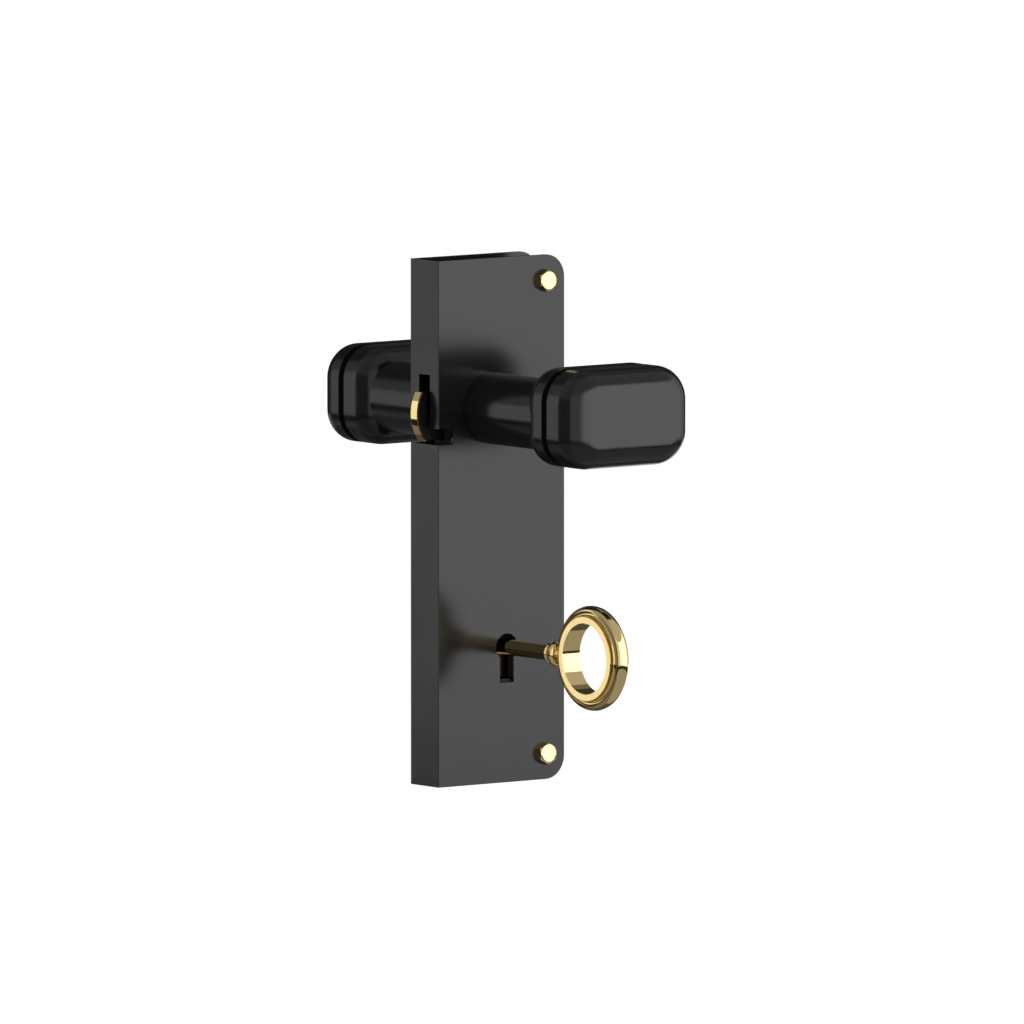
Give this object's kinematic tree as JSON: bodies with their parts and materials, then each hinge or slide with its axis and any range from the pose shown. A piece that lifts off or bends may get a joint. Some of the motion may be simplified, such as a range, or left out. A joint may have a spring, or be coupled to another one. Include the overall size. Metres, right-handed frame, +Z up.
{
  "type": "door lock",
  "caption": "Surface lock folded round a door's edge, with offset block handles on round necks, a lifting brass-faced latch, a keyhole and a ring-bow key.",
  "frame": {"origin": "on the inner face of the edge strip, where the door's edge seats, halfway through the door and halfway up the plate", "axes": "+X into the door away from its edge, -Y out of the front face towards the key, +Z up the plate"},
  "size_m": [0.0939, 0.2054, 0.2504],
  "materials": {
    "plate_black": "satin black",
    "handle_black": "satin black",
    "case_black": "matt black",
    "polished_brass": "polished",
    "bearing_brass": "plain",
    "steel": "plain",
    "dark_steel": "blackened"
  },
  "bodies": {
    "lock_body": {"wrap_plate": "plate_black", "lock_case": "case_black", "case_cover": "case_black", "case_pillars": "steel", "case_screws": "steel", "guide_pins": "steel", "stop_pins": "steel", "front_bushing": "bearing_brass", "rear_bushing": "bearing_brass", "front_bolts": "polished_brass", "rear_bolts": "polished_brass", "bolt_sleeves": "steel", "latch_spring": "steel"},
    "handle": {"follower": "steel", "spindle": "steel", "front_neck": "handle_black", "rear_neck": "handle_black", "front_grub_screw": "dark_steel", "rear_grub_screw": "dark_steel", "front_base": "handle_black", "rear_base": "handle_black", "front_spacer": "handle_black", "rear_spacer": "handle_black", "front_cap": "handle_black", "rear_cap": "handle_black", "front_block_screws": "dark_steel", "rear_block_screws": "dark_steel"},
    "latch_slide": {"latch": "dark_steel", "latch_face": "polished_brass", "spring_seat": "steel"},
    "rotor": {"key_rotor": "dark_steel"},
    "key": {"key_stem": "polished_brass", "key_bit": "polished_brass", "key_bow": "polished_brass", "key_collar": "polished_brass"},
    "bar": {"dead_bar": "dark_steel", "bar_pin": "steel"}
  },
  "joints": [
    {"name": "knob_turn", "type": "hinge", "parent": "lock_body", "child": "handle", "pos_m": [0.0305, 0, 0.0538], "axis": [0, 1, 0], "range_deg": [0, 26.5], "stiffness_Nm_per_rad": 0.7, "springref_deg": -34.38},
    {"name": "latch_lift", "type": "slide", "parent": "lock_body", "child": "latch_slide", "axis": [0, 0, 1], "range_m": [0, 0.00741], "deforming": ["latch_spring"]},
    {"name": "key_turn", "type": "hinge", "parent": "lock_body", "child": "rotor", "pos_m": [0.0391, 0, -0.0605], "axis": [0, 1, 0], "range_deg": [0, 360]},
    {"name": "dead_bar_lift", "type": "slide", "parent": "lock_body", "child": "bar", "axis": [0, 0, 1], "range_m": [0, 0.006]},
    {"name": "key_withdraw", "type": "slide", "parent": "rotor", "child": "key", "axis": [0, -1, 0], "range_m": [0, 0.06]}
  ],
  "couplings": [
    {"joint": "latch_lift", "follows": "knob_turn", "m_per_rad": 0.016},
    {"joint": "dead_bar_lift", "follows": "key_turn", "m_per_rad": 0.00095492}
  ]
}
